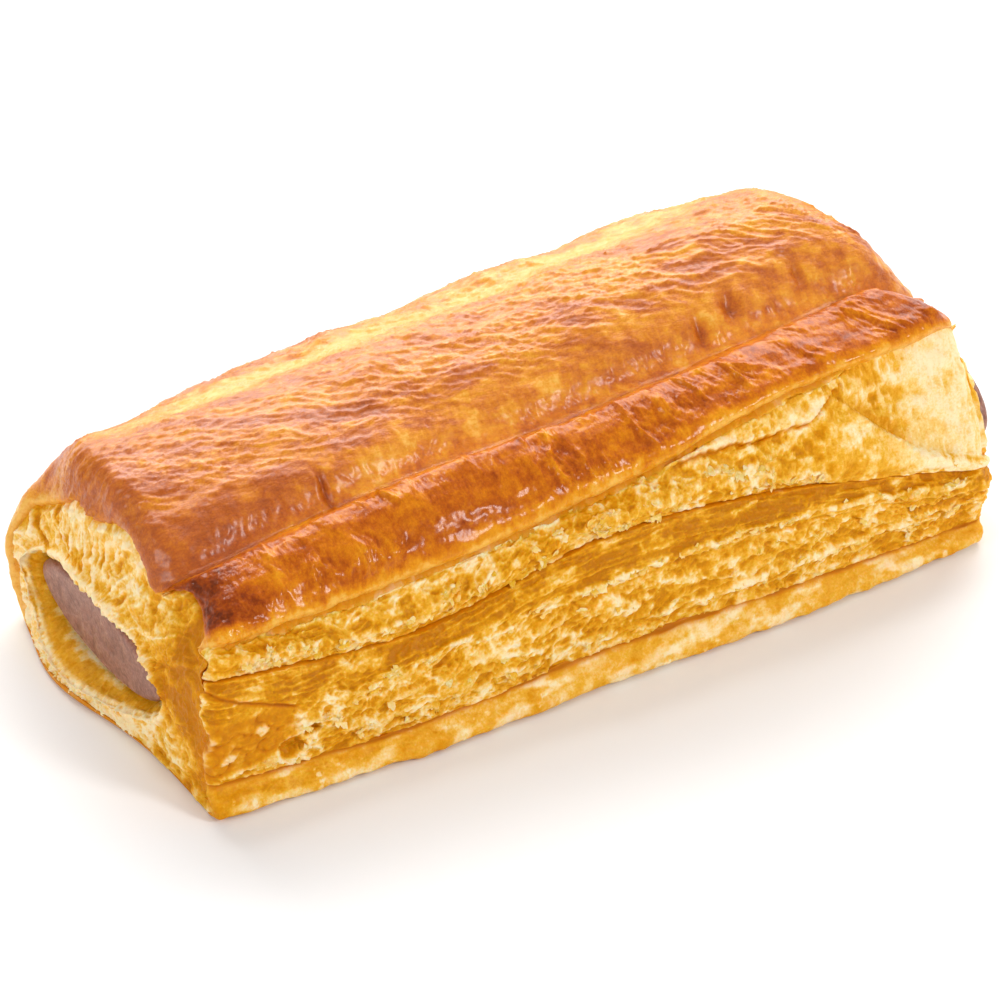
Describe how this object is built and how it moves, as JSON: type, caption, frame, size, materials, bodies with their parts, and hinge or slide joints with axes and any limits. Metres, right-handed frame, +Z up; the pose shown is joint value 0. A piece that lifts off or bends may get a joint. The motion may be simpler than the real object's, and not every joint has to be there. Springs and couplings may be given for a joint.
{
  "type": "sausage roll",
  "caption": "Baked sausage roll: sausage running through a folded puff pastry bar with a lipped fold along its front and two cut ends.",
  "frame": {"origin": "bottom centre of the whole roll's bounding box, on the surface it rests on", "axes": "+X along the roll towards the end where the sausage stands out, +Y towards the plain back, away from the lip of the fold, +Z up"},
  "size_m": [0.1652, 0.0754, 0.0507],
  "materials": {
    "pastry": "baked puff pastry: egg-washed golden brown crust on top and back, pale yellow flaky leaves at the front and ends",
    "sausage": "cooked fine sausage meat, moist mauve brown"
  },
  "bodies": {
    "root": {"pastry": "pastry", "sausage": "sausage"}
  },
  "joints": []
}
